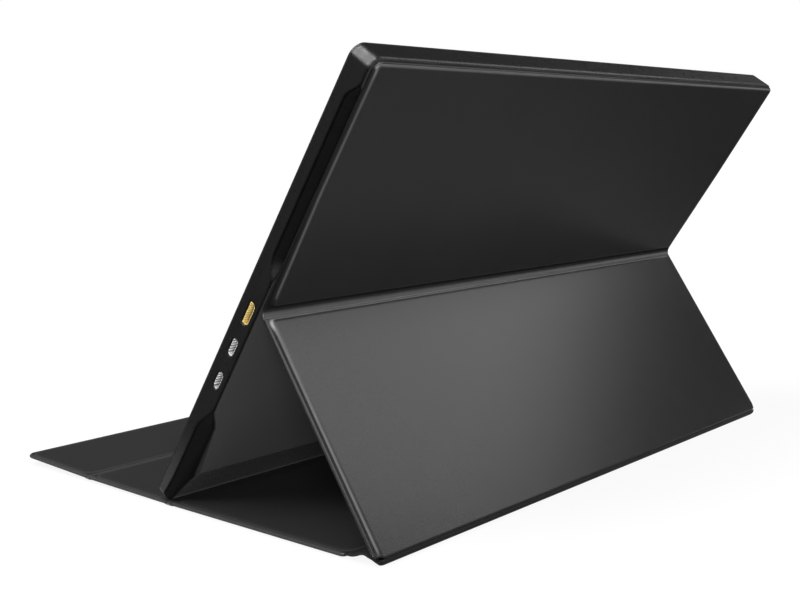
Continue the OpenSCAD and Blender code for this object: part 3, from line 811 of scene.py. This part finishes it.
def strip(name, line, crest, thick=RIM_OUT - RIM_IN, narrow=None):
    """A sheet along a (y, z) line, its skin on the left-hand side of the line, with rounded side edges.

    crest is the crest mark, and narrow how far the side edges draw in, for each point of the line.
    """
    half = thick / 2
    last = SIDE_STEPS[-1]
    flat_w = COVER_W - 2 * last
    across = [(-COVER_W / 2 + e, e) for e in SIDE_STEPS]
    across += [(-COVER_W / 2 + last + flat_w * i / STRIP_CELLS, last) for i in range(1, STRIP_CELLS)]
    across += [(-x, e) for x, e in across[len(SIDE_STEPS) - 1::-1]]
    points, faces, kinds, crests = [], [], [], []
    nx, ny = len(across), len(line)
    for side in (1, -1):
        for j, (y, z) in enumerate(line):
            a, b = line[max(j - 1, 0)], line[min(j + 1, ny - 1)]
            t = Vector((b[0] - a[0], b[1] - a[1])).normalized()
            for x, e in across:
                lift = half * half_round(min(e / half, 1))
                draw = 1 - (narrow[j] / (COVER_W / 2) if narrow else 0.0)
                points.append((x * draw, y - t[1] * lift * side, z + t[0] * lift * side))
                crests.append(crest[j])
    n = nx * ny
    for j in range(ny - 1):
        for i in range(nx - 1):
            q = [j * nx + i, (j + 1) * nx + i, (j + 1) * nx + i + 1, j * nx + i + 1]
            faces += [q, [k + n for k in q[::-1]]]
            kinds += [0, 1]
    for j in (0, ny - 1):
        for i in range(nx - 1):
            q = [j * nx + i, j * nx + i + 1, j * nx + i + 1 + n, j * nx + i + n]
            faces.append(q if j == 0 else q[::-1])
            kinds.append(0)
    return build(name, points, faces, at_base, ["cover_skin", "cover_lining"], crests, kinds)


def yz(at, y, z):
    """(y, z) before the shift of a point of a panel frame."""
    p = at @ Vector((0, y, z))
    return (p[1] - shift, p[2])


MID = (RIM_IN + RIM_OUT) / 2          # height of the middle of the lip
base_mid = COVER_T - MID              # the same over the table, in the base
LEG_LAP, BASE_LAP = 0.03, 0.02        # how far the strips reach into the leg and upper panel, and the base's
UPPER_PULL, LEG_PULL = 1.3, 2.1       # handles of the crease's curve: up the upper panel, and past the leg
CREASE_CELLS = 18


def add_crease():
    """The fold from the upper panel down to the leg, with painted shade at its start and a faint painted
    highlight at its end.
    """
    leg_end = yz(at_leg, MID, leg_top - CREASE_CUT - LEG_LAP)
    leg_pull = yz(at_leg, MID, leg_top - CREASE_CUT + LEG_PULL)
    upper_pull = yz(at_upper, MID, UPPER_PULL)
    upper_end = yz(at_upper, MID, UPPER_CUT + LEG_LAP)
    places = [k / CREASE_CELLS for k in range(CREASE_CELLS + 1)]
    crest = [0.28 * smooth((t - 0.3) / 0.4) - 1 + smooth((t - 0.1) / 0.4) for t in places]
    line = bezier(upper_end, upper_pull, leg_pull, leg_end, CREASE_CELLS)
    crease = strip("crease_fold_sheet", line, crest)
    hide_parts("crease_strip")
    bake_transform(crease)


LOOP_R, LOOP_T = 1.0, 1.3             # radius of the skin round the foot, and the foot's height along the leg
LOOP_TURNS = (-127, -108, -90, -70, -50, -30, -10, 12, 33.5)          # angles round its centre, in degrees
HUMP = ((1.2, 0.1), (3.9, 0.9), (6.2, 1.85), (8.3, 2.2), (10.6, 1.6), (12.4, 0.55))    # past the panel, up
DRAW_RATE, LEAST_DRAW = 0.6, 0.8      # how fast the side edges come back out past the foot, and the limit
SHADE_RUN = 6.0                        # how far along from the leg the painted shade on the spine reaches


def spine_points():
    """(y, z) points from the rear panel over a low hump, round the foot and up into the leg."""
    turn = yz(at_leg, MID, LOOP_T)
    centre = (turn[0] - LOOP_R * math.sin(LEG_ANGLE), turn[1] - LOOP_R * math.cos(LEG_ANGLE))
    points = [(rear_y1 - CREASE_CUT - BASE_LAP, base_mid)]
    points += [(rear_y1 + past, base_mid + rise) for past, rise in HUMP]
    for angle in map(math.radians, LOOP_TURNS):
        points.append((centre[0] + LOOP_R * math.cos(angle), centre[1] + LOOP_R * math.sin(angle)))
    return points + [yz(at_leg, MID, FOOT_CUT + LEG_LAP)]


def add_spine():
    """The spine, drawn in at its side edges to meet the leg's rounded foot, with painted shade round that
    foot.
    """
    line = spline(spine_points(), 4)[::-1]
    run, draw_in, crest = 0.0, [], []
    for k, p in enumerate(line):
        run += math.dist(p, line[max(k - 1, 0)])
        d = min(FOOT_CUT - run if run < FOOT_CUT else DRAW_RATE * (run - FOOT_CUT), TIP_R)
        tip = TIP_R - math.sqrt(TIP_R**2 - (TIP_R - d) ** 2)
        draw_in.append(max(tip, LEAST_DRAW if run > FOOT_CUT else 0.0))
        crest.append(-FOOT_SHADE + FOOT_SHADE * smooth((run - SHADE_RUN) / 3.0))
    spine = strip("spine_sheet", line, crest, narrow=draw_in)
    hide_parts("spine_strip")
    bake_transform(spine)


GROOVE_MID = (RIM_IN + COVER_T) / 2   # middle height of the groove sheets
GROOVE_T = 1.9                        # they are nearly as thick as the panels, so the base's edge runs on
GROOVE_DIP = 0.12
GROOVE_CELLS = 16


def add_groove(name, node, front, rear):
    """A short sheet across a groove of the base, dipping in the middle, with a painted highlight along that
    middle.
    """
    line, crest = [], []
    for k in range(GROOVE_CELLS + 1):
        t = k / GROOVE_CELLS
        dip = GROOVE_DIP * math.sin(math.pi * t) ** 2
        line.append((front[0] + (rear[0] - front[0]) * t, front[1] + (rear[1] - front[1]) * t - dip))
        crest.append(bell(k, GROOVE_CELLS / 2, 4.0))
    sheet = strip(name, line[::-1], crest, GROOVE_T)
    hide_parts(node)
    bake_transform(sheet)


add_crease()
add_spine()
add_groove(
    "rear_groove_sheet", "rear_groove_strip",
    yz(at_middle_panel, GROOVE_MID, MIDDLE_LEN - BASE_LAP), yz(at_rear, GROOVE_MID, BASE_LAP),
)
add_groove(
    "front_groove_sheet", "front_groove_strip",
    yz(at_flap_panel, GROOVE_MID, FLAP_LEN - BASE_LAP), yz(at_middle_panel, GROOVE_MID, BASE_LAP),
)

# ---------------------------------------------------------------- floor, backdrop and light
AMBIENT = 0.1                         # the backdrop's light on the object
MIRRORED = 0.05                       # its brightness in reflections
FLOOR_MIRRORED = 0.24                 # the floor's brightness in reflections, close to the object
FLOOR_HALF = 6.0
FLOOR_Z = -0.0003                     # the spine sheet dips this far under the table's plane


def looked_at(nodes):
    """Two masks: 1 for what the camera or glass sees, and 1 for what a reflection sees."""
    path = nodes.node("LightPath").outputs
    return nodes.math("MAXIMUM", path["Is Camera Ray"], path["Is Transmission Ray"]), path["Is Glossy Ray"]


def add_world():
    backdrop = bpy.data.worlds.new("studio")
    backdrop.use_nodes = True
    nodes = Nodes(backdrop.node_tree)
    eye, glossy = looked_at(nodes)
    unseen = nodes.spread(glossy, 0.0, 1.0, AMBIENT, MIRRORED, False)
    shown = nodes.node("Background", Color=(1, 1, 1, 1), Strength=nodes.mix_number(eye, unseen, 1.0))
    nodes.node("OutputWorld", Surface=shown.outputs[0])
    bpy.context.scene.world = backdrop


def floor_material():
    """A pale floor that fades to white for the camera, and is dim in reflections."""
    mat = bpy.data.materials.new("floor")
    mat.use_nodes = True
    nodes = Nodes(mat.node_tree)
    length = nodes.node("VectorMath", operation="LENGTH")
    feed(nodes.tree, length.inputs[0], nodes.node("TexCoord").outputs["Object"])
    distance = length.outputs["Value"]
    eye, glossy = looked_at(nodes)
    white = nodes.times(nodes.spread(distance, 0.25, 0.75, 0.9, 1.0), eye)
    around = nodes.spread(distance, 0.08, 0.6, FLOOR_MIRRORED, MIRRORED)
    plain = nodes.node("BsdfDiffuse", Color=(0.9, 0.9, 0.9, 1))
    glow = nodes.node("Emission", Strength=nodes.mix_number(glossy, 1.0, around))
    shown = nodes.node("MixShader", Fac=nodes.math("MAXIMUM", white, glossy))
    feed(nodes.tree, shown.inputs[1], plain.outputs[0])
    feed(nodes.tree, shown.inputs[2], glow.outputs[0])
    nodes.node("OutputMaterial", Surface=shown.outputs[0])
    return mat


def add_floor():
    mesh = bpy.data.meshes.new("floor")
    corners = [(x * FLOOR_HALF, y * FLOOR_HALF, FLOOR_Z) for x, y in ((-1, -1), (1, -1), (1, 1), (-1, 1))]
    mesh.from_pydata(corners, [], [(0, 1, 2, 3)])
    mesh.materials.append(floor_material())
    floor = bpy.data.objects.new("floor", mesh)
    bpy.context.scene.collection.objects.link(floor)


def softbox(name, at, aim, size, power, turn=0.0):
    """A rectangular area light at a place, aimed at another and turned about its own axis, in degrees."""
    data = bpy.data.lights.new(name, "AREA")
    data.shape = "RECTANGLE"
    data.size, data.size_y = size
    data.energy = power
    light = bpy.data.objects.new(name, data)
    light.location = at
    aimed = (Vector(aim) - Vector(at)).to_track_quat("-Z", "Y").to_matrix()
    light.rotation_euler = (aimed @ Matrix.Rotation(math.radians(turn), 3, "Z")).to_euler()
    bpy.context.scene.collection.objects.link(light)


add_world()
add_floor()
softbox("overhead box", (0.6, -0.2, 1.15), (0.0, 0.0, 0.1), (0.42, 1.3), 20.0)
softbox("rear box", (-0.88, 0.555, 0.90), (0.0, 0.1, 0.05), (0.95, 0.75), 5.6, 28.0)
softbox("crest box", (-0.24, 0.83, 1.11), (0.0, 0.1, 0.06), (0.8, 0.4), 4.0)
softbox("front box", (1.0, 0.8, 0.78), (0.0, 0.1, 0.08), (0.5, 0.5), 2.2)
softbox("horizon box", (-1.05, 0.85, 0.1), (0.0, 0.1, 0.1), (1.3, 0.3), 1.1)
softbox("low fill", (1.25, 1.15, 0.07), (0.0, 0.05, 0.08), (0.8, 0.14), 18.0)
bpy.context.scene.view_settings.view_transform = "Standard"

bpy.context.view_layer.update()
